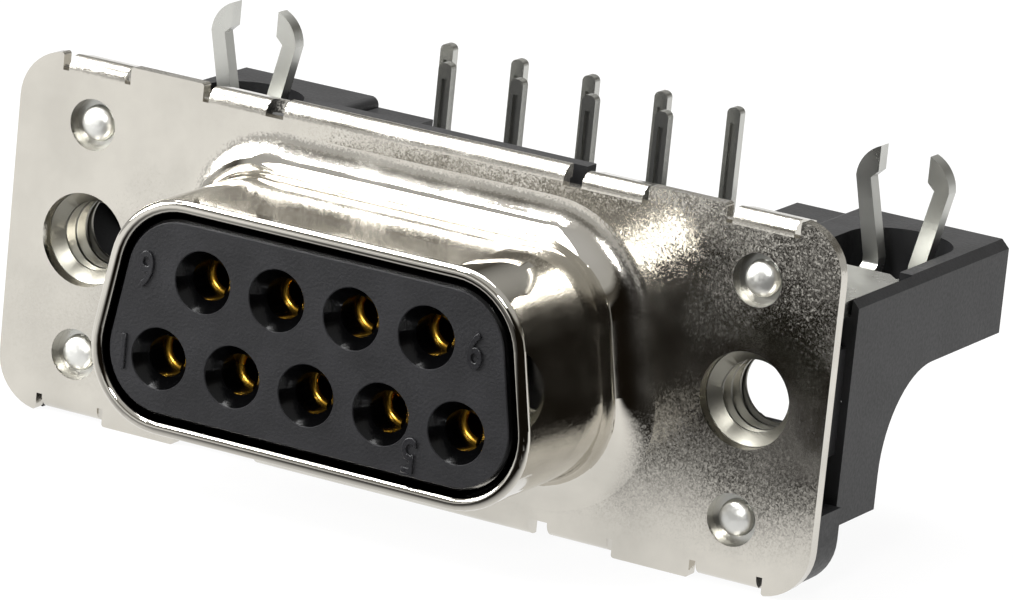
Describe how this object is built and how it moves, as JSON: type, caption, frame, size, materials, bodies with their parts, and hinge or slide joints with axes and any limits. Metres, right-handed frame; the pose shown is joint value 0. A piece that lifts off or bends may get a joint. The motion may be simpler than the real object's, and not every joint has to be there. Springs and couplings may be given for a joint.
{
  "type": "right-angle d-sub socket connector",
  "caption": "Right-angle D-shaped socket connector for a circuit board, with a drawn metal shell and flange, bent solder tails, hooked board locks and threaded screw inserts.",
  "frame": {"origin": "front face of the flange, midway between the two screw holes", "axes": "+X right along the flange seen from the mating side, -Y out of the mating mouth, +Z the way the board tails point"},
  "size_m": [0.0308, 0.0198, 0.0127],
  "materials": {
    "shell": "bright nickel plate",
    "insulator": "matte",
    "bracket": "satin",
    "contact": "gold at the socket, tin at the tail",
    "ground_strap": "matt tin plate",
    "threaded_insert": "nickel plate",
    "rivet": "bright"
  },
  "bodies": {
    "root": {"front_shell": "shell", "front_insulator": "insulator", "bracket": "bracket", "contact_1": "contact", "contact_2": "contact", "contact_3": "contact", "contact_4": "contact", "contact_5": "contact", "contact_6": "contact", "contact_7": "contact", "contact_8": "contact", "contact_9": "contact", "ground_strap_right": "ground_strap", "threaded_insert_right": "threaded_insert", "rivet_upper_right": "rivet", "rivet_lower_right": "rivet", "ground_strap_left": "ground_strap", "threaded_insert_left": "threaded_insert", "rivet_upper_left": "rivet", "rivet_lower_left": "rivet"}
  },
  "joints": []
}
